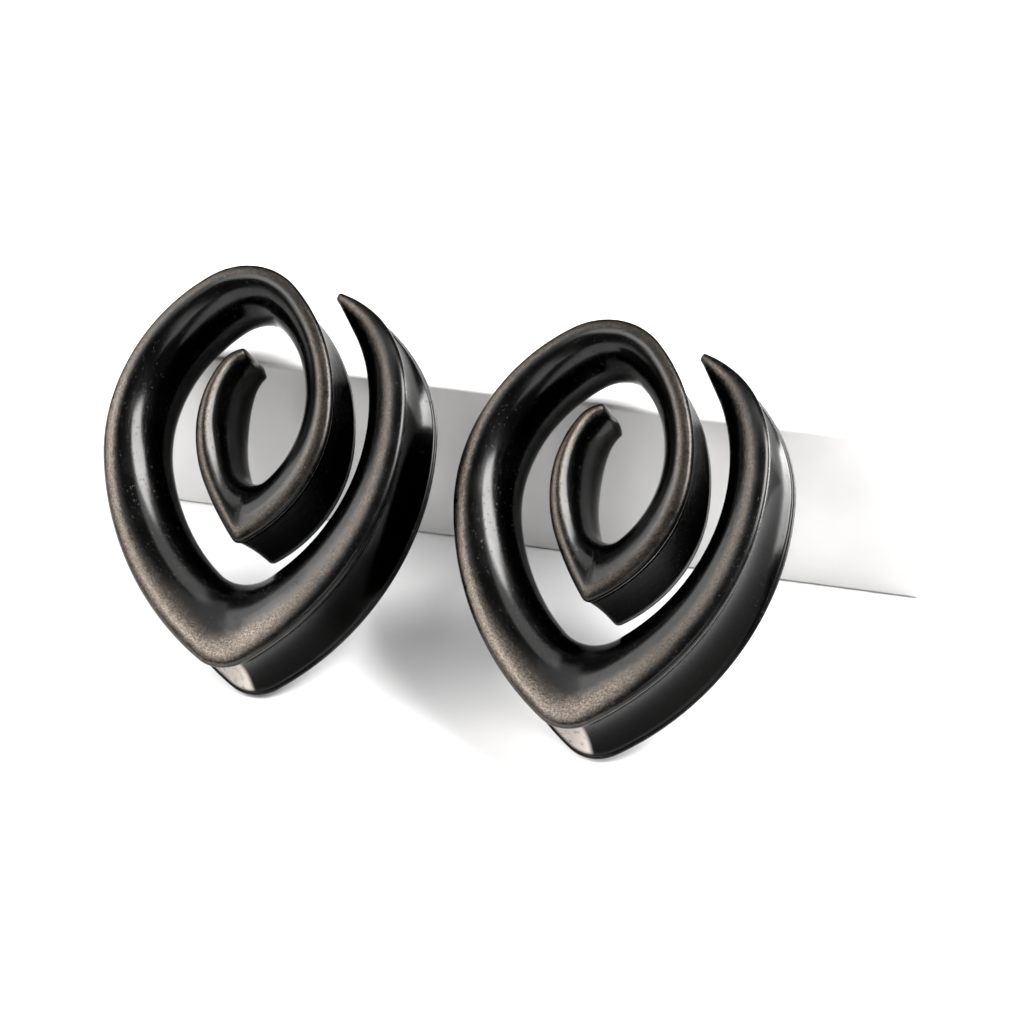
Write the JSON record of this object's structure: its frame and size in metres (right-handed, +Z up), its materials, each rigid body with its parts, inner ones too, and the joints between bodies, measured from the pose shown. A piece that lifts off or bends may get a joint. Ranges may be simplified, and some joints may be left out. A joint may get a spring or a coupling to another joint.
{
  "type": "pair of ear weights on a leaning block",
  "caption": "Pair of black spade-shaped spiral ear weights with a saddle groove, leaning side by side on the top edge of a plain display block.",
  "frame": {"origin": "centre of the underside of the display block", "axes": "+X along the block to the viewer's right, -Y towards the side the ear weights lean on, +Z up"},
  "size_m": [0.097, 0.0666, 0.038],
  "materials": {
    "black_metal": "glossy black plating, worn brown on the rims",
    "block_white": "satin white"
  },
  "bodies": {
    "root": {"ear_weight_right": "black_metal", "ear_weight_left": "black_metal", "display_block": "block_white"}
  },
  "joints": []
}
